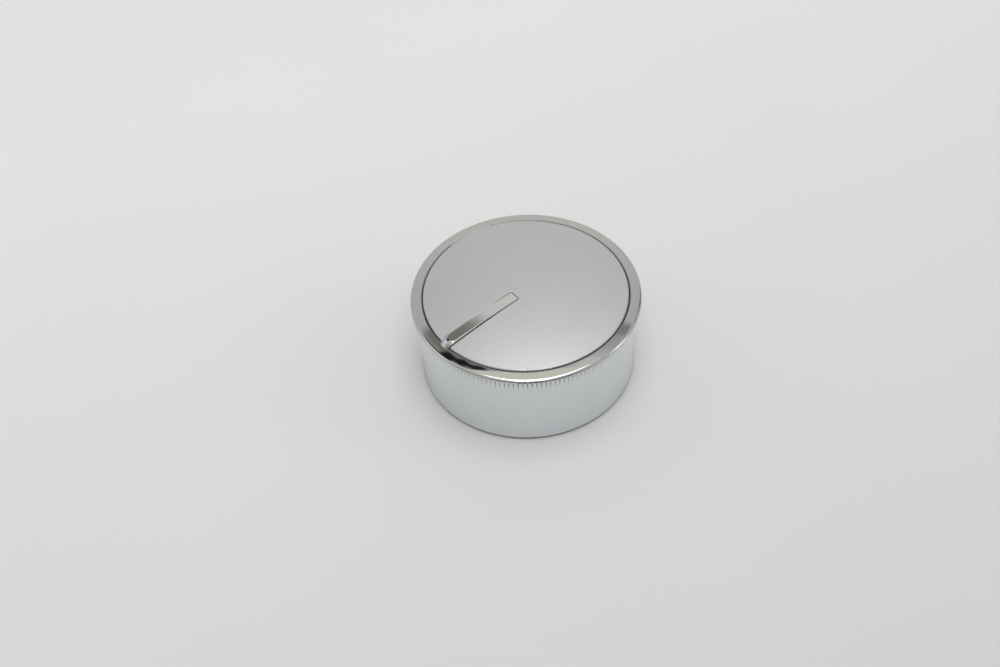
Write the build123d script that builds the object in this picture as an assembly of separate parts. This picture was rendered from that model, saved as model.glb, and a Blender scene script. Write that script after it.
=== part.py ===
from build123d import *
import os
from math import asin, cos, degrees, radians, sin, sqrt, tan

# Round push-on control knob with a domed face, a plated rim and a raised pointer.
# Millimetres. The origin is the centre of the foot, +Z runs up the shaft's line,
# and the pointer points along +Y.

# Skirt: the flared outer shell
rim_radius = 25.0          # widest circle of the knob
skirt_height = 19.9        # foot to the land that carries the rim
foot_inset = 1.9           # how far the foot stands in from the widest circle
rim_overhang = 0.4         # how far the rim stands out over the skirt's top
flare_start = 1.5          # height of the plain foot before the flare begins
skirt_wall = 1.5
foot_edge = 0.7            # round on the foot's outer edge
top_land = 1.65            # width of the land under the rim
shelf_drop = 1.6           # land down to the shelf's top
shelf_thickness = 1.4
shelf_reach = 3.5          # how far the shelf comes in from the recess wall

# Flutes: the band of fine upright grooves under the rim
flute_count = 156
flute_depth = 0.25         # at the skirt's top, running out to nothing lower down
flute_length = 3.05
flute_angle = 75.0         # between the two sides of one groove

# Rim: the plated ring
ring_width = 2.65
rim_edge_radius = 0.7      # round between the bevel and the widest circle
rim_lip = 0.2              # round under the widest circle
rim_inner_radius = 0.25    # round between the bevel and the opening for the face
bevel_slope = 8.0          # degrees down towards the edge
web_thickness = 1.2
web_gap = 0.1              # between the web's edge and the skirt's recess
ledge_width = 1.9          # flat that carries the face's flange
ledge_drop = 1.2           # bevel's inner edge down to that flat

# Face: the domed disc
face_gap = 0.12            # between the face and the ring
face_rise = 0.2            # dome's edge above the bevel's inner edge
face_crown = 1.6           # rise of the dome from its edge to its middle
face_thickness = 1.2
face_edge_radius = 0.3
slot_edge_radius = 0.1     # round along the pointer's slot
flange_width = 1.3
peg_radius = 1.0
peg_circle = 14.0
peg_gap = 0.1
peg_end_gap = 0.3          # peg end up from the web's underside

# Pointer: the raised bar on the rim
pointer_width = 2.6
pointer_start = 3.0        # inner end, from the knob's axis
pointer_gap = 0.12         # each side, to the face's slot
pointer_rise = 0.65        # stands above the face where its nose begins
pointer_flat = 2.1         # flat along the middle of its top, and across the nose's start
pointer_edge_radius = 0.1
pointer_corner = 0.3       # upright corners of its inner end
nose_inset = 2.25          # nose's centre, in from the bevel's inner edge
nose_bend = 1.8            # radius from the flat top over into the nose's slope
nose_slope = 40.0          # degrees, down to the crease with the bevel

# Snap hooks: legs under the rim's web, with the keys and pegs midway between them
hook_count = 3
hook_turn = 90.0           # first hook, in degrees from +X
peg_turn = 30.0            # first peg and first key
hook_circle = 16.9         # outer face of each leg
hook_leg = 1.3
hook_width = 4.4
hook_barb = 0.7
hook_barb_height = 1.6
window_gap = 0.15

# Core: the inner moulding that takes the shaft
core_gap = 0.3             # core's plate to the skirt's foot, so that it goes in from below
core_plate = 1.6
core_wall = 1.2            # ring wall under the plate
core_wall_depth = 3.0
core_wall_inset = 1.1      # ring wall in from the plate's edge
rib_count = 4
rib_turn = 45.0            # first rib, clear of the hub's slits and of the hooks
rib_thickness = 1.2
rib_depth = 6.0            # at the hub
key_width = 4.7
key_height = 1.2
key_depth = 0.8            # how far a key stands into its notch
key_gap = 0.15

# Socket for a round shaft with one flat
shaft_radius = 3.0
shaft_flat = 1.5           # shaft's axis to its flat
neck_gap = 0.25            # round the shaft in the socket's lead-in neck
grip_gap = 0.02            # round the shaft, and at its flat, further in
hub_wall = 2.4
hub_mouth = 2.0            # mouth above the foot
mouth_chamfer = 0.5
neck_length = 3.0          # round part of the socket behind the chamfer
socket_roof = 2.9          # end of the socket up to the plate's top
slit_width = 1.0
slit_length = 9.0

# Spring band round the hub
band_thickness = 0.5
band_width = 3.5
band_height = 3.0          # lower edge above the hub's mouth
band_seat_gap = 0.1        # play between the band's edges and its groove
band_opening = 50.0        # degrees left open, opposite the socket's flat

cut_past = 1.0             # how far each cutting shape runs past what it cuts

# Worked out from the sizes above
foot_radius = rim_radius - foot_inset
skirt_top_radius = rim_radius - rim_overhang
flare_rise = skirt_height - flare_start
flare_reach = foot_inset - rim_overhang
flare_radius = (flare_rise**2 + flare_reach**2) / (2 * flare_reach)
recess_radius = skirt_top_radius - top_land
shelf_top = skirt_height - shelf_drop
shelf_bottom = shelf_top - shelf_thickness
shelf_radius = recess_radius - shelf_reach

web_radius = recess_radius - web_gap
web_bottom = shelf_top
web_top = web_bottom + web_thickness
widest_height = skirt_height + rim_lip
bevel_edge_radius = rim_radius - rim_edge_radius + rim_edge_radius * sin(radians(bevel_slope))
bevel_edge_height = widest_height + rim_edge_radius * cos(radians(bevel_slope))
ring_radius = rim_radius - ring_width

face_radius = ring_radius - face_gap


def bevel_height(radius):
    """Height of the rim's bevel at a radius."""
    return bevel_edge_height + (bevel_edge_radius - radius) * tan(radians(bevel_slope))


ring_inner_height = bevel_height(ring_radius)
face_edge_height = ring_inner_height + face_rise
face_seat = ring_inner_height - ledge_drop
dome_radius = (face_radius**2 + face_crown**2) / (2 * face_crown)
dome_centre = face_edge_height + face_crown - dome_radius
ledge_radius = ring_radius - ledge_width

plate_top = shelf_bottom
plate_bottom = plate_top - core_plate
plate_radius = foot_radius - skirt_wall - core_gap
neck_radius = shaft_radius + neck_gap
grip_radius = shaft_radius + grip_gap
grip_flat = shaft_flat + grip_gap
socket_end = plate_top - socket_roof
hub_radius = neck_radius + hub_wall
band_low = hub_mouth + band_height
groove_radius = hub_radius - band_thickness


def flare_radius_at(height, inwards=0.0):
    """Radius of the skirt's outer face at a height, or of a face parallel to it further in."""
    rise = max(0.0, height - flare_start)
    return foot_radius + flare_radius - sqrt((flare_radius + inwards) ** 2 - rise**2)


def dome_height(radius, inwards=0.0):
    """Height of the face's dome at a radius, or of a dome parallel to it further in."""
    return dome_centre + sqrt((dome_radius - inwards) ** 2 - radius**2)


def turned(*outline):
    """A solid turned about the knob's axis from a closed outline in radius and height."""
    return revolve(Plane.XZ * make_face(Curve() + list(outline)), Axis.Z, 360)


def round_at(centre, radius, start, end):
    """An arc about a centre, from one angle to another in degrees."""
    middle = (start + end) / 2
    points = [
        (centre[0] + radius * cos(radians(angle)), centre[1] + radius * sin(radians(angle)))
        for angle in (start, middle, end)
    ]
    return ThreePointArc(*points)


def spaced(count, shape, first=0.0):
    """Copies of a shape evenly spaced about the knob's axis."""
    return [Rot(0, 0, first + 360.0 * index / count) * shape for index in range(count)]


def block(inner, outer, width, low, high):
    """A block lying along +X, between two distances from the axis and two heights."""
    size = (outer - inner, width, high - low)
    return Pos((inner + outer) / 2, 0, (low + high) / 2) * Box(*size)


def flute_cutter():
    """One V groove whose bottom runs out on the flare."""
    low = Vector(flare_radius_at(skirt_height - flute_length), 0, skirt_height - flute_length)
    high = Vector(skirt_top_radius - flute_depth, 0, skirt_height)
    along = (high - low).normalized()
    depth = flute_depth + cut_past
    half = depth * tan(radians(flute_angle / 2))
    section = Plane(origin=low - along * cut_past, x_dir=(0, 1, 0), z_dir=along)
    vee = make_face(Polyline((0, 0), (half, -depth), (-half, -depth), close=True))
    return extrude(section * vee, amount=(high - low).length + 2 * cut_past)


def skirt_shell():
    """The flared shell with its shelf, notches and flutes."""
    wall_foot = foot_radius - skirt_wall
    shelf_wall = flare_radius_at(shelf_bottom, skirt_wall)
    middle = (flare_start + skirt_height) / 2
    inner_middle = (flare_start + shelf_bottom) / 2
    shell = turned(
        Line((wall_foot, 0), (foot_radius - foot_edge, 0)),
        round_at((foot_radius - foot_edge, foot_edge), foot_edge, -90, 0),
        Line((foot_radius, foot_edge), (foot_radius, flare_start)),
        ThreePointArc(
            (foot_radius, flare_start),
            (flare_radius_at(middle), middle),
            (skirt_top_radius, skirt_height),
        ),
        Polyline(
            (skirt_top_radius, skirt_height),
            (recess_radius, skirt_height),
            (recess_radius, shelf_top),
            (shelf_radius, shelf_top),
            (shelf_radius, shelf_bottom),
            (shelf_wall, shelf_bottom),
        ),
        ThreePointArc(
            (shelf_wall, shelf_bottom),
            (flare_radius_at(inner_middle, skirt_wall), inner_middle),
            (wall_foot, flare_start),
        ),
        Line((wall_foot, flare_start), (wall_foot, 0)),
    )
    notch = block(
        shelf_radius - cut_past,
        shelf_radius + key_depth + key_gap,
        key_width + 2 * key_gap,
        shelf_bottom - cut_past,
        shelf_top + cut_past,
    )
    shell -= spaced(hook_count, notch, peg_turn)
    shell -= spaced(flute_count, flute_cutter())
    return shell


def snap_hook():
    """One leg with an outward barb, reaching from the web to below the core's plate."""
    low = plate_bottom - hook_barb_height
    inner = hook_circle - hook_leg
    side = make_face(
        Polyline(
            (inner, web_bottom + web_thickness / 2),
            (inner, low),
            (hook_circle, low),
            (hook_circle + hook_barb, plate_bottom - hook_barb),
            (hook_circle + hook_barb, plate_bottom),
            (hook_circle, plate_bottom),
            (hook_circle, web_bottom + web_thickness / 2),
            close=True,
        )
    )
    return extrude(Plane.XZ * side, amount=hook_width / 2, both=True)


def pointer_bar():
    """The raised bar, flush with the dome at its inner end, with a round nose down to the bevel."""
    nose = ring_radius - nose_inset
    start_height = dome_height(pointer_start)
    nose_height = dome_height(nose) + pointer_rise
    root = web_bottom + web_thickness / 2
    high = start_height + pointer_rise

    # The top bends about a line across the knob, level at the bar's inner end
    length = nose - pointer_start
    fall = start_height - nose_height
    bend_radius = (length**2 + fall**2) / (2 * fall)
    bend_line = Axis((0, pointer_start, start_height - bend_radius), (1, 0, 0))
    tilt = asin(length / bend_radius)
    at_nose = Plane((0, nose, nose_height), x_dir=(1, 0, 0), z_dir=(0, -cos(tilt), sin(tilt)))

    # Half of its section, which also turns about the nose's own upright
    flat = pointer_flat / 2
    depth = high - root
    over = round_at((flat, -nose_bend), nose_bend, 90, 90 - nose_slope)
    foot = over @ 1 + Vector(depth / tan(radians(nose_slope)), -depth)
    half = make_face(Line((0, 0), (flat, 0)) + over + Polyline(over @ 1, foot, (0, foot.Y), (0, 0)))
    upright = at_nose * half
    top = revolve(upright, Axis(at_nose.origin, at_nose.y_dir), 180)
    top += revolve(upright + mirror(upright, Plane.YZ), bend_line, degrees(tilt))

    side = make_face(
        Polyline(
            (pointer_start, root),
            (ring_radius, root),
            (ring_radius, widest_height),
            (bevel_edge_radius, widest_height),
            (bevel_edge_radius, high),
            (pointer_start, high),
            close=True,
        )
    )
    bar = extrude(Plane.YZ * side, amount=pointer_width / 2, both=True) & top
    bar = fillet(bar.edges().filter_by(Axis.Z).sort_by(Axis.Y)[:2], pointer_corner)
    upper = bar.faces().filter_by(Axis.X).edges().filter_by(GeomType.LINE, reverse=True)
    return fillet(upper, pointer_edge_radius)


def chrome_rim():
    """The plated ring with its web, pointer, peg holes and snap hooks."""
    edge_centre = (rim_radius - rim_edge_radius, widest_height)
    lip_centre = (rim_radius - rim_lip, widest_height)
    inner_radius = ring_radius + rim_inner_radius
    inner_centre = (inner_radius, bevel_height(inner_radius) - rim_inner_radius / cos(radians(bevel_slope)))
    inner_edge = round_at(inner_centre, rim_inner_radius, 90 - bevel_slope, 180)
    ring = turned(
        Line((bevel_edge_radius, bevel_edge_height), inner_edge @ 0),
        inner_edge,
        Polyline(
            inner_edge @ 1,
            (ring_radius, face_seat),
            (ledge_radius, face_seat),
            (ledge_radius, web_top),
            (0, web_top),
            (0, web_bottom),
            (web_radius, web_bottom),
            (web_radius, skirt_height),
            (rim_radius - rim_lip, skirt_height),
        ),
        round_at(lip_centre, rim_lip, -90, 0),
        round_at(edge_centre, rim_edge_radius, 0, 90 - bevel_slope),
    )
    hole_middle = (web_bottom + web_top) / 2
    hole = Cylinder(peg_radius + peg_gap, web_thickness + 2 * cut_past)
    hole = Pos(peg_circle, 0, hole_middle) * hole
    ring -= spaced(hook_count, hole, peg_turn)
    ring += pointer_bar()
    ring += spaced(hook_count, snap_hook(), hook_turn)
    return ring


def face_disc():
    """The domed face with its seat flange, pegs and the pointer's slot."""
    flange_inner = face_radius - flange_width
    middle = face_radius / 2
    crown = face_edge_height + face_crown
    round_radius = face_radius - face_edge_radius
    round_height = dome_height(round_radius, face_edge_radius)
    round_start = degrees(asin((round_height - dome_centre) / (dome_radius - face_edge_radius)))
    edge_round = round_at((round_radius, round_height), face_edge_radius, round_start, 0)
    disc = turned(
        ThreePointArc((0, crown), (middle, dome_height(middle)), edge_round @ 0),
        edge_round,
        Polyline(
            (face_radius, round_height),
            (face_radius, face_seat),
            (flange_inner, face_seat),
            (flange_inner, dome_height(flange_inner, face_thickness)),
        ),
        ThreePointArc(
            (flange_inner, dome_height(flange_inner, face_thickness)),
            (middle, dome_height(middle, face_thickness)),
            (0, crown - face_thickness),
        ),
        Line((0, crown - face_thickness), (0, crown)),
    )
    peg_low = web_bottom + peg_end_gap
    peg_high = dome_height(peg_circle, face_thickness / 2)
    peg = Pos(peg_circle, 0, (peg_low + peg_high) / 2) * Cylinder(peg_radius, peg_high - peg_low)
    disc += spaced(hook_count, peg, peg_turn)
    slot = block(
        pointer_start - pointer_gap,
        rim_radius,
        pointer_width + 2 * pointer_gap,
        web_bottom,
        crown + pointer_rise,
    )
    slot = fillet(slot.edges().filter_by(Axis.Z).sort_by(Axis.X)[:2], pointer_corner + pointer_gap)
    disc -= Rot(0, 0, 90) * slot
    dome = disc.faces().filter_by(GeomType.SPHERE).sort_by(SortBy.AREA)[-1]
    slot_edges = dome.edges().filter_by(lambda edge: abs((edge @ 0.5).X) < pointer_width)
    return fillet(slot_edges, slot_edge_radius)


def core_rib():
    """One rib from the hub to the ring wall, shallower outwards."""
    wall = plate_radius - core_wall_inset - core_wall / 2
    side = make_face(
        Polyline(
            (hub_radius - hub_wall / 2, plate_top - core_plate / 2),
            (hub_radius - hub_wall / 2, plate_bottom - rib_depth),
            (hub_radius, plate_bottom - rib_depth),
            (wall, plate_bottom - core_wall_depth),
            (wall, plate_top - core_plate / 2),
            close=True,
        )
    )
    return extrude(Plane.XZ * side, amount=rib_thickness / 2, both=True)


def shaft_socket():
    """The hollow for the shaft: chamfered mouth, round neck, then the part with one flat."""
    neck_end = hub_mouth + mouth_chamfer + neck_length
    hollow = turned(
        Polyline(
            (0, hub_mouth),
            (neck_radius + mouth_chamfer, hub_mouth),
            (neck_radius, hub_mouth + mouth_chamfer),
            (neck_radius, neck_end),
            (grip_radius, neck_end),
            (grip_radius, socket_end),
            (0, socket_end),
            close=True,
        )
    )
    beyond_flat = block(grip_flat, hub_radius, 2 * hub_radius, neck_end, socket_end)
    return hollow - Rot(0, 0, 90) * beyond_flat


def hub_core():
    """The inner moulding with the shaft's socket."""
    wall_outer = plate_radius - core_wall_inset
    core = turned(
        Polyline(
            (0, hub_mouth),
            (hub_radius, hub_mouth),
            (hub_radius, plate_bottom),
            (wall_outer - core_wall, plate_bottom),
            (wall_outer - core_wall, plate_bottom - core_wall_depth),
            (wall_outer, plate_bottom - core_wall_depth),
            (wall_outer, plate_bottom),
            (plate_radius, plate_bottom),
            (plate_radius, plate_top),
            (hub_radius, plate_top),
            (hub_radius, web_bottom),
            (0, web_bottom),
            close=True,
        )
    )
    core += spaced(rib_count, core_rib(), rib_turn)
    key = block(
        shelf_radius - core_wall,
        shelf_radius + key_depth,
        key_width,
        plate_top - core_plate / 2,
        plate_top + key_height,
    )
    core += spaced(hook_count, key, peg_turn)
    window = block(
        hook_circle - hook_leg - hook_barb,
        hook_circle + window_gap,
        hook_width + 2 * window_gap,
        plate_bottom - cut_past,
        plate_top + cut_past,
    )
    core -= spaced(hook_count, window, hook_turn)
    core -= shaft_socket()
    slit = Box(2 * (hub_radius + cut_past), slit_width, slit_length + cut_past)
    core -= Pos(0, 0, hub_mouth + (slit_length - cut_past) / 2) * slit
    groove_low = band_low - band_seat_gap
    groove_high = band_low + band_width + band_seat_gap
    groove = Cylinder(hub_radius + cut_past, groove_high - groove_low)
    groove -= Cylinder(groove_radius, groove_high - groove_low)
    return core - Pos(0, 0, (groove_low + groove_high) / 2) * groove


def shaft_clip():
    """The open spring band in the hub's groove."""
    band = Cylinder(groove_radius + band_thickness, band_width)
    band -= Cylinder(groove_radius, band_width)
    reach = hub_radius + cut_past
    half = reach * tan(radians(band_opening / 2))
    opening = make_face(Polyline((0, 0), (half, -reach), (-half, -reach), close=True))
    band -= extrude(opening, amount=band_width, both=True)
    return Pos(0, 0, band_low + band_width / 2) * band


os.makedirs("parts", exist_ok=True)
for make in (skirt_shell, chrome_rim, face_disc, hub_core, shaft_clip):
    export_step(make(), f"parts/{make.__name__}.step")
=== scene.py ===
"""Looks for a round push-on control knob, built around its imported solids.

Everything is in metres in the solids' own frame: the origin is the centre of the foot,
+Z runs up the shaft's line and the pointer points along +Y.
"""

import logging
import math
from dataclasses import dataclass
from enum import Enum
from functools import partial
from typing import Any, Callable

import bpy
from mathutils import Matrix, Vector

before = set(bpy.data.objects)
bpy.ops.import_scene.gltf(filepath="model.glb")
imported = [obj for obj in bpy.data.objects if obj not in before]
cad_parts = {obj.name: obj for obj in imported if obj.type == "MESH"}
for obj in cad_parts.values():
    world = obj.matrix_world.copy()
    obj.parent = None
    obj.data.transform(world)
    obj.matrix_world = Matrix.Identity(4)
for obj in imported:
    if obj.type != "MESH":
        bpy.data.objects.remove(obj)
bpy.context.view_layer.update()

MM = 0.001
UM = 0.001 * MM
NOISE_START, NOISE_END = 0.3, 0.7           # nearly all values of a noise pattern lie between these
VALUE, START, END, LOW, HIGH = range(5)     # inputs of a MapRange node
SHARE, FIRST, SECOND, MIXED = 0, 6, 7, 2    # inputs and output of a Mix node for colours
log = logging.getLogger("knob")

Colour = tuple[float, float, float, float]
Socket = bpy.types.NodeSocket


class Direction(Enum):
    """Which way a pattern is drawn out: what a place's x, y and z are multiplied by."""

    NONE = (1.0, 1.0, 1.0)
    ROUND = (0.04, 0.04, 1.0)


def linear(colour: str, level: float = 1.0) -> Colour:
    """Turns an sRGB hex colour into a linear one.

    Args:
        colour: Six hex digits, such as "b9bcbb".
        level: What the linear colour is multiplied by.

    Returns:
        Linear red, green and blue, and an alpha of 1.
    """
    shares = (int(colour[i : i + 2], 16) / 255 for i in (0, 2, 4))
    red, green, blue = (s / 12.92 if s <= 0.04045 else ((s + 0.055) / 1.055) ** 2.4 for s in shares)
    return red * level, green * level, blue * level, 1.0


def add(
    tree: bpy.types.NodeTree, kind: str, inputs: dict[int | str, Any], give: int | str = 0, **settings: Any
) -> Socket | None:
    """Adds a node with its settings, values and links.

    Args:
        tree: The node tree that gets the node.
        kind: The node's type name without its "ShaderNode", such as "Math".
        inputs: Input names or numbers, each with an output socket to link or a value.
        give: Name or number of the output that is asked for.
        settings: The node's own properties, such as operation.

    Returns:
        The output's socket, or None for a node without outputs.
    """
    node = tree.nodes.new("ShaderNode" + kind)
    for name, value in settings.items():
        setattr(node, name, value)
    for key, value in inputs.items():
        if isinstance(value, Socket):
            tree.links.new(value, node.inputs[key])
        else:
            node.inputs[key].default_value = value
    return node.outputs[give] if node.outputs else None


@dataclass(frozen=True)
class PhotoCamera:
    """The photograph's viewpoint, fitted to the knob's circles.

    Angles are in degrees. The azimuth turns from the -Y side towards +X.
    """

    azimuth: float = 232.7
    elevation: float = 47.37
    roll: float = -3.09
    focal_pixels: float = 2600.0
    image_pixels: tuple[int, int] = (1000, 667)
    aim_pixel: tuple[float, float] = (525.9, 297.3)
    aim_height: float = 20.1 * MM
    aim_depth: float = 560.75 * MM
    sensor_mm: float = 36.0
    clip_start: float = 10.0 * MM

    def axes(self) -> tuple[Vector, Vector, Vector]:
        """Works out which way the camera is turned.

        Returns:
            Its right, up and backward directions.
        """
        turn, tilt, roll = (math.radians(a) for a in (self.azimuth, self.elevation, self.roll))
        back = Vector((math.sin(turn) * math.cos(tilt), -math.cos(turn) * math.cos(tilt), math.sin(tilt)))
        level = Vector((math.cos(turn), math.sin(turn), 0.0))
        upright = back.cross(level)
        right = level * math.cos(roll) + upright * math.sin(roll)
        return right, back.cross(right), back

    def build(self) -> None:
        """Makes the camera and sets it as the scene's."""
        right, up, back = self.axes()
        width, height = self.image_pixels
        across = (self.aim_pixel[0] - width / 2) / self.focal_pixels
        upward = (height / 2 - self.aim_pixel[1]) / self.focal_pixels
        aim = Vector((0.0, 0.0, self.aim_height))
        place = aim + (back - right * across - up * upward) * self.aim_depth
        data = bpy.data.cameras.new("photo_camera")
        data.sensor_width = self.sensor_mm
        data.lens = self.focal_pixels / width * self.sensor_mm
        data.clip_start = self.clip_start
        camera = bpy.data.objects.new("photo_camera", data)
        turned = Matrix((right, up, back)).transposed().to_4x4()
        camera.matrix_world = Matrix.Translation(place) @ turned
        bpy.context.scene.collection.objects.link(camera)
        bpy.context.scene.camera = camera


@dataclass(frozen=True)
class RoomPatch:
    """A soft-edged patch of the room, as the knob sees it.

    Headings and heights are in degrees, and name where the patch starts and ends. Heading 0 is
    to the camera's right and 90 is away from it. Height 0 is level and 90 is overhead.
    """

    headings: tuple[float, float]
    heights: tuple[float, float]
    soft: tuple[float, float]
    colour: str
    level: float = 1.0


@dataclass(frozen=True)
class CeilingLight:
    """The long soft light panel over the table and the camera, which faces straight down.

    Along and aside are counted from the knob, away from the camera and to its right.
    """

    name: str = "long_soft_panel"
    height: float = 1.2
    along: float = -0.30
    aside: float = 0.05
    length: float = 1.40
    width: float = 0.56
    watts: float = 5.2

    def build(self, camera_azimuth: float) -> None:
        """Makes the panel.

        Args:
            camera_azimuth: The camera's own azimuth, which the panel lies along.
        """
        turn = math.radians(camera_azimuth)
        data = bpy.data.lights.new(self.name, "AREA")
        data.shape = "RECTANGLE"
        data.size = self.width
        data.size_y = self.length
        data.energy = self.watts
        panel = bpy.data.objects.new(self.name, data)
        across = Vector((math.cos(turn), math.sin(turn), 0))
        away = Vector((-math.sin(turn), math.cos(turn), 0))
        panel.location = across * self.aside + away * self.along + Vector((0, 0, self.height))
        panel.rotation_euler = (0, 0, turn)
        bpy.context.scene.collection.objects.link(panel)


@dataclass(frozen=True)
class Room:
    """The plain room round the table, which the satin and the plated faces show."""

    wall: str = "c5c6c9"
    patches: tuple[RoomPatch, ...] = (
        # Walls: pale straight behind the table and paler higher up, bright and then dim round the left
        RoomPatch((74, 104), (-30, 50), (16, 3), "d5d5d3"),
        RoomPatch((158, 190), (18, 50), (12, 8), "ececee"),
        RoomPatch((196, 232), (-30, 46), (14, 12), "aeaeb2"),
        RoomPatch((78, 103), (43, 50), (8, 3), "e6e7e5"),
        # Tall bright strip at the right, and a dim one between it and the wall behind the knob
        RoomPatch((349, 365), (-4, 42), (6, 10), "ffffff", 1.5),
        RoomPatch((33, 46), (-4, 28), (8, 8), "828286"),
        # Behind the knob: a pale line with a darker one under it, and a grey band beside them
        RoomPatch((38, 78), (53, 57), (6, 2), "b4b4b2"),
        RoomPatch((38, 76), (50.6, 53.4), (6, 1.4), "92918c"),
        RoomPatch((94, 113), (50.0, 61.5), (6, 2.6), "83847c"),
        # Dark band to the grey one's left, whose end slants up across the grey
        RoomPatch((113.5, 156), (50.5, 61.5), (3, 1.2), "18181a"),
        RoomPatch((107.5, 114), (55.8, 58.6), (2, 1.0), "202022"),
        RoomPatch((104.5, 110), (57.8, 60.4), (2, 1.0), "202022"),
        RoomPatch((101, 107), (59.8, 61.8), (2, 0.8), "202022"),
        # Ceiling, warm where it meets the wall behind the knob
        RoomPatch((-200, 500), (61.8, 120), (9, 0.8), "dadad7"),
        RoomPatch((-200, 76), (59, 66), (4, 1.2), "d8d8d4"),
        RoomPatch((68, 122), (61.8, 76), (20, 0.8), "e4e3d8"),
        # The dim side of the room that the camera stands on
        RoomPatch((236, 322), (-24, 20), (20, 30), "36324a"),
    )

    @staticmethod
    def mask(tree: bpy.types.NodeTree, away: Socket, half: float, soft: float) -> Socket:
        """A mask that is 1 near a patch's middle and fades to 0 over its soft edge.

        Args:
            tree: The world's node tree.
            away: How far a direction lies from the patch's middle, in degrees.
            half: Half the patch's span, in degrees.
            soft: Width of the soft edge, in degrees.

        Returns:
            The mask's output socket.
        """
        distance = add(tree, "Math", {0: away}, operation="ABSOLUTE")
        limits = {VALUE: distance, START: half + soft / 2, END: half - soft / 2}
        return add(tree, "MapRange", limits, interpolation_type="SMOOTHSTEP")

    def build(self, camera_azimuth: float) -> None:
        """Makes the world's light.

        Args:
            camera_azimuth: The camera's own azimuth, which headings are counted from.
        """
        world = bpy.data.worlds.new("plain_room")
        world.use_nodes = True
        tree = world.node_tree
        tree.nodes.clear()
        toward = add(tree, "TexCoord", {}, give="Generated")
        angle = {"Vector": toward, "Angle": math.radians(-camera_azimuth)}
        turned = add(tree, "VectorRotate", angle, rotation_type="Z_AXIS")
        across, ahead, upward = (add(tree, "SeparateXYZ", {0: turned}, give=axis) for axis in "XYZ")
        heading = add(tree, "Math", {0: ahead, 1: across}, operation="ARCTAN2")
        heading = add(tree, "Math", {0: heading}, operation="DEGREES")
        height = add(tree, "Math", {0: upward}, operation="ARCSINE")
        height = add(tree, "Math", {0: height}, operation="DEGREES")
        colour: Socket | Colour = linear(self.wall)
        for patch in self.patches:
            middle, rise = sum(patch.headings) / 2, sum(patch.heights) / 2
            aside = add(tree, "Math", {0: heading, 1: middle}, operation="SUBTRACT")
            aside = add(tree, "Math", {0: aside, 1: 180.0, 2: -180.0}, operation="WRAP")
            above = add(tree, "Math", {0: height, 1: rise}, operation="SUBTRACT")
            wide = self.mask(tree, aside, patch.headings[1] - middle, patch.soft[0])
            tall = self.mask(tree, above, patch.heights[1] - rise, patch.soft[1])
            both = add(tree, "Math", {0: wide, 1: tall}, operation="MULTIPLY")
            tones = {SHARE: both, FIRST: colour, SECOND: linear(patch.colour, patch.level)}
            colour = add(tree, "Mix", tones, give=MIXED, data_type="RGBA")
        light = add(tree, "Background", {"Color": colour, "Strength": 1.0})
        add(tree, "OutputWorld", {"Surface": light})
        bpy.context.scene.world = world


class Surface:
    """The start of every finish: a material with the knob's own coordinates and patterns."""

    def __init__(self, name: str) -> None:
        """Makes the empty material.

        Args:
            name: The material's name: what it is and how its surface was made.
        """
        self.material = bpy.data.materials.new(name)
        self.material.use_nodes = True
        self.material.node_tree.nodes.clear()
        self.add = partial(add, self.material.node_tree)
        self.place = self.add("TexCoord", {}, give="Object")

    def radius(self) -> Socket:
        """Distance from the shaft's axis, in metres."""
        flat = self.add("VectorMath", {0: self.place, 1: (1.0, 1.0, 0.0)}, operation="MULTIPLY")
        return self.add("VectorMath", {0: flat}, give="Value", operation="LENGTH")

    def height(self) -> Socket:
        """Height over the foot's plane, in metres."""
        return self.add("SeparateXYZ", {0: self.place}, give="Z")

    def mottle(self, size: float, detail: float = 2.0, along: Direction = Direction.NONE) -> Socket:
        """Soft random spots, or lines where they are drawn out.

        Args:
            size: Width of one spot, in metres.
            detail: How many finer layers it has.
            along: Which way it is drawn out.

        Returns:
            A socket that varies about 0.5.
        """
        place = self.add("VectorMath", {0: self.place, 1: along.value}, operation="MULTIPLY")
        return self.add("TexNoise", {"Vector": place, "Scale": 1 / size, "Detail": detail})

    def shade(self, **inputs: Any) -> bpy.types.Material:
        """Finishes the material with one shader.

        Args:
            inputs: The shader's inputs by name, with _ for each space.

        Returns:
            The material.
        """
        named = {name.replace("_", " "): value for name, value in inputs.items()}
        self.add("OutputMaterial", {"Surface": self.add("BsdfPrincipled", named)})
        return self.material


Mask = Callable[[Surface], Socket]


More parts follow.
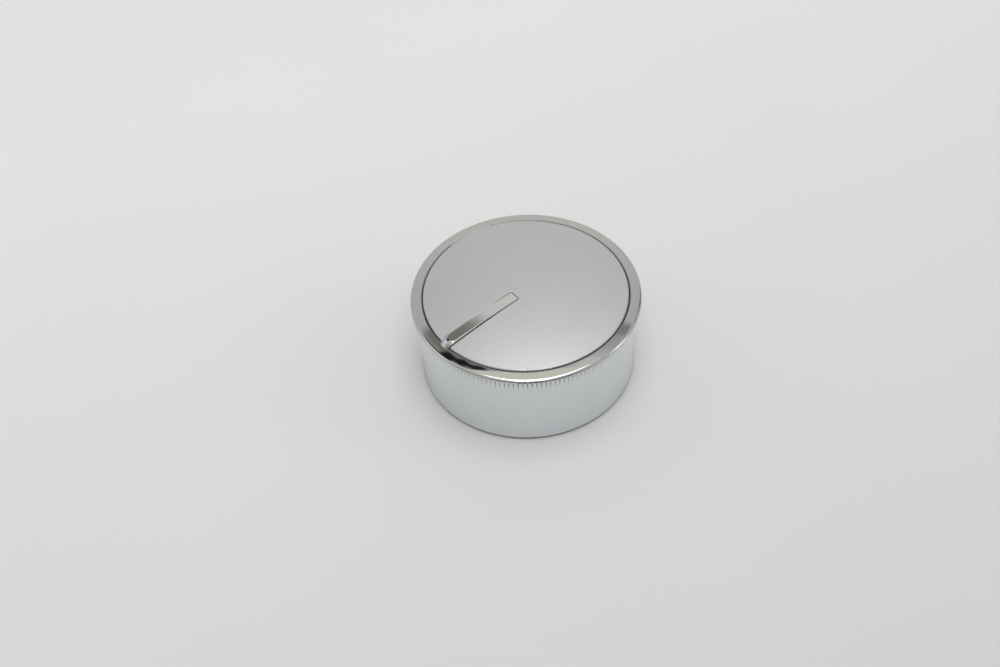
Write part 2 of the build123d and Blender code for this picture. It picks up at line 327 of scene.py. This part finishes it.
@dataclass(frozen=True)
class SilverLacquer:
    """Silver lacquer, sprayed on moulded grey ABS.

    Its aluminium flake gives a soft metal sheen with a barely visible grain, and the spray
    leaves a shallow orange peel. Where the spray doesn't reach, the dull grey plastic shows.
    The same dull grey is also painted on as shade, where a piece's mask asks for it.
    """

    name: str
    colour: str
    roughness: float
    flake: float = 0.45 * MM        # real flake is 0.03 mm, drawn coarser so that it shows
    flake_height: float = 1.2 * UM
    flake_change: float = 0.03      # how far the flake's brightness varies
    peel: float = 1.8 * MM
    peel_height: float = 1.0 * UM
    cloud: float = 10.8 * MM        # width of the areas where the coat is a little rougher or smoother
    cloud_change: float = 0.04
    # Colour of the bare plastic, which is also the colour of the painted shade
    bare_and_shade_colour: str = "45474a"
    bare_and_shade_roughness: float = 0.5

    def build(self, bare_and_shaded: Mask) -> bpy.types.Material:
        """Makes the material.

        Args:
            bare_and_shaded: Gives the share of bare plastic and of painted shade, from 0 to 1, at each
                place.

        Returns:
            The material.
        """
        surface = Surface(self.name)
        bare_and_shaded_share = bare_and_shaded(surface)
        flake, peel = surface.mottle(self.flake, 1.0), surface.mottle(self.peel, 1.0)
        cloud = surface.mottle(self.cloud)
        share = surface.add("MapRange", {VALUE: flake, START: NOISE_START, END: NOISE_END})
        dark, bright = (linear(self.colour, 1 + side * self.flake_change) for side in (-1, 1))
        grain = {SHARE: share, FIRST: dark, SECOND: bright}
        coat = surface.add("Mix", grain, give=MIXED, data_type="RGBA")
        smooth, coarse = (self.roughness * (1 + side * self.cloud_change) for side in (-1, 1))
        clouded = {VALUE: cloud, START: NOISE_START, END: NOISE_END, LOW: smooth, HIGH: coarse}
        rough = surface.add("MapRange", clouded)
        # Mixes the coat with the bare plastic and with the painted shade
        with_painted_shade = {SHARE: bare_and_shaded_share, FIRST: coat, SECOND: linear(self.bare_and_shade_colour)}
        peeled = surface.add("Bump", {"Distance": self.peel_height, "Height": peel})
        flaked = {"Distance": self.flake_height, "Height": flake, "Normal": peeled}
        return surface.shade(
            Base_Color=surface.add("Mix", with_painted_shade, give=MIXED, data_type="RGBA"),
            Metallic=surface.add("MapRange", {VALUE: bare_and_shaded_share, LOW: 1.0, HIGH: 0.0}),
            Roughness=surface.add("MapRange", {VALUE: bare_and_shaded_share, LOW: rough, HIGH: self.bare_and_shade_roughness}),
            Normal=surface.add("Bump", flaked),
        )


@dataclass(frozen=True)
class ChromePlate:
    """Bright chrome, plated on moulded ABS.

    A clean mirror, a little darker than silver. The moulding under it leaves slow waves, which
    bend what it reflects, and handling leaves a faint haze. In the narrow gap beside the face it
    is painted dull and grey, as shade.
    """

    name: str = "bright_plated_chrome"
    colour: str = "cfcfcd"
    colour_change: float = 0.02
    roughness: float = 0.035
    wave: float = 5.0 * MM
    wave_height: float = 5.0 * UM
    haze: float = 3.0 * MM
    haze_range: tuple[float, float] = (0.7, 1.5)    # least and most haze, times the roughness
    # Colour and roughness of the painted shade in the narrow gap beside the face
    painted_shade: str = "929290"
    gap_roughness: float = 0.4

    def build(self, gap_shade: Mask, crown: Mask, crown_height: float) -> bpy.types.Material:
        """Makes the material.

        Args:
            gap_shade: Gives the share of painted shade, from 0 to 1, at each place.
            crown: Gives the height of the ring's slight crown, from 0 to 1, at each place.
            crown_height: The crown's real height, in metres.

        Returns:
            The material.
        """
        surface = Surface(self.name)
        painted_shade, haze, wave = gap_shade(surface), surface.mottle(self.haze), surface.mottle(self.wave, 1.0)
        dark, bright = (linear(self.colour, 1 + side * self.colour_change) for side in (-1, 1))
        plate = surface.add("Mix", {SHARE: haze, FIRST: dark, SECOND: bright}, give=MIXED, data_type="RGBA")
        clear, hazy = (self.roughness * share for share in self.haze_range)
        hazed = {VALUE: haze, START: NOISE_START, END: NOISE_END, LOW: clear, HIGH: hazy}
        rough = surface.add("MapRange", hazed)
        # Mixes in the painted shade of the gap
        with_painted_shade = {SHARE: painted_shade, FIRST: plate, SECOND: linear(self.painted_shade)}
        crowned = surface.add("Bump", {"Distance": crown_height, "Height": crown(surface)})
        waved = {"Distance": self.wave_height, "Height": wave, "Normal": crowned}
        return surface.shade(
            Base_Color=surface.add("Mix", with_painted_shade, give=MIXED, data_type="RGBA"),
            Metallic=1.0,
            Roughness=surface.add("MapRange", {VALUE: painted_shade, LOW: rough, HIGH: self.gap_roughness}),
            Normal=surface.add("Bump", waved),
        )


@dataclass(frozen=True)
class BlackAcetal:
    """Black acetal, injection moulded in a spark-finished mould.

    A dark, slightly greasy gloss over a fine matt grain.
    """

    name: str = "moulded_black_acetal"
    colour: str = "1c1c1e"
    pale: str = "29292b"            # where the melt flowed last
    roughness: float = 0.46
    roughness_change: float = 0.06
    ior: float = 1.48
    flow: float = 8.0 * MM
    grain: float = 0.3 * MM         # the mould's grain is 0.05 mm, drawn coarser so that it shows
    grain_height: float = 5.0 * UM

    def build(self) -> bpy.types.Material:
        """Makes the material.

        Returns:
            The material.
        """
        surface = Surface(self.name)
        grain, flow = surface.mottle(self.grain), surface.mottle(self.flow)
        share = surface.add("MapRange", {VALUE: flow, START: NOISE_START, END: NOISE_END})
        tones = {SHARE: share, FIRST: linear(self.colour), SECOND: linear(self.pale)}
        smooth, coarse = self.roughness - self.roughness_change, self.roughness + self.roughness_change
        return surface.shade(
            Base_Color=surface.add("Mix", tones, give=MIXED, data_type="RGBA"),
            Roughness=surface.add("MapRange", {VALUE: share, LOW: smooth, HIGH: coarse}),
            IOR=self.ior,
            Normal=surface.add("Bump", {"Distance": self.grain_height, "Height": grain}),
        )


@dataclass(frozen=True)
class SpringStrip:
    """Bright-rolled stainless spring strip.

    Fine rolling lines run along the strip and stretch its highlights across it.
    """

    name: str = "rolled_spring_strip"
    colour: str = "aeaca6"
    shades: tuple[float, float] = (0.85, 1.1)       # darkest and palest line, times the colour
    roughness: float = 0.3
    roughness_change: float = 0.08
    line: float = 0.2 * MM          # rolling lines are 0.02 mm apart, drawn coarser so that they show
    line_height: float = 1.5 * UM

    def build(self) -> bpy.types.Material:
        """Makes the material.

        Returns:
            The material.
        """
        surface = Surface(self.name)
        lines = surface.mottle(self.line, 1.0, Direction.ROUND)
        dark, bright = (linear(self.colour, shade) for shade in self.shades)
        tones = {SHARE: lines, FIRST: dark, SECOND: bright}
        smooth, coarse = self.roughness - self.roughness_change, self.roughness + self.roughness_change
        rough = {VALUE: lines, START: NOISE_START, END: NOISE_END, LOW: smooth, HIGH: coarse}
        return surface.shade(
            Base_Color=surface.add("Mix", tones, give=MIXED, data_type="RGBA"),
            Metallic=1.0,
            Roughness=surface.add("MapRange", rough),
            Normal=surface.add("Bump", {"Distance": self.line_height, "Height": lines}),
        )


@dataclass(frozen=True)
class WhiteTabletop:
    """Matt white melamine tabletop: pale, slightly uneven and with hardly any gloss.

    Painted light runs evenly across it, a little darker on the camera's side of the knob and
    a little paler behind the knob.
    """

    name: str = "matt_white_melamine"
    colour: str = "e9e9e7"
    colour_change: float = 0.015
    roughness: float = 0.55
    specular: float = 0.2
    spot: float = 60.0 * MM
    painted_light_heading: float = 109.0     # degrees from the camera's right, towards the side with more painted light
    painted_light_reach: float = 110.0 * MM  # knob's axis to where the painted light's change ends, both ways
    painted_light_change: float = 0.11

    def build(self, camera_azimuth: float) -> bpy.types.Material:
        """Makes the material.

        Args:
            camera_azimuth: The camera's own azimuth, which the heading is counted from.

        Returns:
            The material.
        """
        surface = Surface(self.name)
        # Painted light: the tabletop is paler away from the camera and darker towards it
        turn = math.radians(camera_azimuth + self.painted_light_heading)
        toward = (math.cos(turn), math.sin(turn), 0.0)
        both = {0: surface.place, 1: toward}
        along = surface.add("VectorMath", both, give="Value", operation="DOT_PRODUCT")
        span = {VALUE: along, START: -self.painted_light_reach, END: self.painted_light_reach}
        span |= {LOW: 1 - self.painted_light_change, HIGH: 1 + self.painted_light_change}
        pale = surface.add("MapRange", span)
        dark, bright = (linear(self.colour, 1 + side * self.colour_change) for side in (-1, 1))
        tones = {SHARE: surface.mottle(self.spot), FIRST: dark, SECOND: bright}
        tint = surface.add("Mix", tones, give=MIXED, data_type="RGBA")
        return surface.shade(
            Base_Color=surface.add("VectorMath", {0: tint, "Scale": pale}, operation="SCALE"),
            Roughness=self.roughness,
            Specular_IOR_Level=self.specular,
        )


@dataclass(frozen=True)
class Studio:
    """Table, light and room."""

    floor_side: float = 6.0
    top: WhiteTabletop = WhiteTabletop()
    light: CeilingLight = CeilingLight()
    room: Room = Room()

    def build(self, camera: PhotoCamera) -> None:
        """Makes the pale table, the light and the room.

        Args:
            camera: The camera, whose azimuth the light and the room are laid out by.
        """
        half = self.floor_side / 2
        mesh = bpy.data.meshes.new("tabletop")
        corners = [(-half, -half, 0), (half, -half, 0), (half, half, 0), (-half, half, 0)]
        mesh.from_pydata(corners, [], [(0, 1, 2, 3)])
        mesh.materials.append(self.top.build(camera.azimuth))
        tabletop = bpy.data.objects.new("tabletop", mesh)
        bpy.context.scene.collection.objects.link(tabletop)
        self.light.build(camera.azimuth)
        self.room.build(camera.azimuth)


def dress(node: str, material: bpy.types.Material) -> bpy.types.Object:
    """Gives every material slot of a solid its finish.

    Args:
        node: The solid's node.
        material: The finish.

    Returns:
        The dressed object.
    """
    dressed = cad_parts[node]
    for slot in dressed.material_slots:
        slot.material = material
    return dressed


@dataclass(frozen=True)
class FlutedSkirt:
    """The flared skirt: one moulded shell, lacquered outside and bare inside.

    Its wall stands on a plain foot and flares from there, and fine flutes run round its top.
    """

    node: str = "skirt_shell"
    foot_radius: float = 23.1 * MM
    flare_start: float = 1.5 * MM
    flare_rise: float = 18.4 * MM
    flare_reach: float = 1.5 * MM
    wall: float = 1.5 * MM
    flute_shade_depths: tuple[float, float] = (0.01 * MM, 0.14 * MM)     # depths where the painted shade in a flute starts and is full
    flute_shade_share: float = 0.6                                # how dark the painted shade in a flute gets
    foot_shade_heights: tuple[float, float] = (0.7 * MM, 0.5 * MM)   # heights where the painted shade along the foot's edge starts and is full
    finish: SilverLacquer = SilverLacquer("silver_lacquer_skirt", "dfe2e4", 0.30)

    def bare_and_shaded(self, surface: Surface) -> Socket:
        """Where the skirt is darker: painted shade in the flutes and along the foot's edge, and bare
        plastic inside.

        Args:
            surface: The finish that asks.

        Returns:
            The share of bare plastic and painted shade, from 0 to 1.
        """
        height = surface.height()
        top = self.flare_start + self.flare_rise
        risen = surface.add("MapRange", {VALUE: height, START: self.flare_start, END: top})
        # The outer face's radius, with the flare's shallow arc taken as a parabola
        bent = surface.add("Math", {0: risen, 1: risen}, operation="MULTIPLY")
        flared = {0: bent, 1: self.flare_reach, 2: self.foot_radius}
        outer = surface.add("Math", flared, operation="MULTIPLY_ADD")
        depth = surface.add("Math", {0: outer, 1: surface.radius()}, operation="SUBTRACT")
        # Painted shade in the flutes and along the foot's edge, and the bare plastic inside
        shares = (
            {VALUE: depth, START: self.flute_shade_depths[0], END: self.flute_shade_depths[1], HIGH: self.flute_shade_share},
            {VALUE: depth, START: self.wall / 2, END: self.wall},
            {VALUE: height, START: self.foot_shade_heights[0], END: self.foot_shade_heights[1]},
        )
        flute_shade, inside, foot_shade = (surface.add("MapRange", share) for share in shares)
        most = surface.add("Math", {0: flute_shade, 1: inside}, operation="MAXIMUM")
        return surface.add("Math", {0: most, 1: foot_shade}, operation="MAXIMUM")

    def build(self) -> bpy.types.Object:
        """Dresses the shell."""
        return dress(self.node, self.finish.build(self.bare_and_shaded))


@dataclass(frozen=True)
class PlatedRim:
    """The plated ring with its pointer: one moulding, bright all over its open faces."""

    node: str = "chrome_rim"
    ring_radius: float = 22.35 * MM
    inner_round: float = 0.25 * MM
    bevel_edge_radius: float = 24.4 * MM
    pointer_base: float = 21.25 * MM    # just over the ring's inner edge, where only the pointer is
    gap_fade: float = 0.1 * MM         # over which the painted shade fades out
    crown_height: float = 8.0 * UM
    finish: ChromePlate = ChromePlate()

    def gap_shade(self, surface: Surface) -> Socket:
        """Where shade is painted: on the round beside the face, lower than the pointer.

        Args:
            surface: The finish that asks.

        Returns:
            The share of painted shade, from 0 to 1.
        """
        end, base = self.ring_radius + self.inner_round, self.pointer_base
        inner = surface.add("MapRange", {VALUE: surface.radius(), START: end + self.gap_fade, END: end})
        low = surface.add("MapRange", {VALUE: surface.height(), START: base + self.gap_fade, END: base})
        return surface.add("Math", {0: inner, 1: low}, operation="MULTIPLY")

    def crown(self, surface: Surface) -> Socket:
        """The slight crown across the ring's bevel, highest in the middle.

        Args:
            surface: The finish that asks.

        Returns:
            The height, from 0 to 1.
        """
        start, end = self.ring_radius + self.inner_round, self.bevel_edge_radius
        span = {VALUE: surface.radius(), START: start, END: end, LOW: -1.0, HIGH: 1.0}
        across = surface.add("MapRange", span)
        fall = surface.add("Math", {0: across, 1: across}, operation="MULTIPLY")
        return surface.add("Math", {0: 1.0, 1: fall}, operation="SUBTRACT")

    def build(self) -> bpy.types.Object:
        """Dresses the ring."""
        return dress(self.node, self.finish.build(self.gap_shade, self.crown, self.crown_height))


@dataclass(frozen=True)
class DomedFace:
    """The domed face: a lacquered disc, whose hidden flange and underside stay bare."""

    node: str = "face_disc"
    radius: float = 22.23 * MM
    edge_height: float = 21.28 * MM
    coat_reach: float = 0.5 * MM        # how far down the edge the full coat reaches
    coat_fade: float = 0.2 * MM         # and how far on it thins to nothing
    edge_round: float = 0.3 * MM
    edge_fade: float = 0.1 * MM
    edge_shade_share: float = 0.2             # how dark the painted shade on the edge's round gets
    finish: SilverLacquer = SilverLacquer("silver_lacquer_face", "d5d7d7", 0.42)

    def bare_and_shaded(self, surface: Surface) -> Socket:
        """Where the face is darker: painted shade on the edge's round, and bare plastic below it.

        Args:
            surface: The finish that asks.

        Returns:
            The share of bare plastic and painted shade, from 0 to 1.
        """
        low, inner = self.edge_height - self.coat_reach, self.radius - self.edge_round
        end = low - self.coat_fade
        below = surface.add("MapRange", {VALUE: surface.height(), START: low, END: end})
        # Painted shade on the edge's round, which dulls its highlight
        rim = {VALUE: surface.radius(), START: inner, END: inner + self.edge_fade, HIGH: self.edge_shade_share}
        painted_shade = surface.add("MapRange", rim)
        return surface.add("Math", {0: below, 1: painted_shade}, operation="MAXIMUM")

    def build(self) -> bpy.types.Object:
        """Dresses the disc."""
        return dress(self.node, self.finish.build(self.bare_and_shaded))


@dataclass(frozen=True)
class HubCore:
    """The inner moulding with the socket, the ribs and the ring wall."""

    node: str = "hub_core"
    finish: BlackAcetal = BlackAcetal()

    def build(self) -> bpy.types.Object:
        """Dresses the moulding."""
        return dress(self.node, self.finish.build())


@dataclass(frozen=True)
class SpringBand:
    """The open spring band round the split hub."""

    node: str = "shaft_clip"
    finish: SpringStrip = SpringStrip()

    def build(self) -> bpy.types.Object:
        """Dresses the band."""
        return dress(self.node, self.finish.build())


def main() -> None:
    """Builds the scene."""
    logging.basicConfig(level=logging.INFO)
    bpy.context.scene.view_settings.view_transform = "Standard"
    camera = PhotoCamera()
    camera.build()
    Studio().build(camera)
    for piece in (FlutedSkirt(), PlatedRim(), DomedFace(), HubCore(), SpringBand()):
        dressed = piece.build()
        log.info("%s: %d faces, %s", dressed.name, len(dressed.data.polygons), piece.finish.name)


if __name__ == "__main__":
    main()
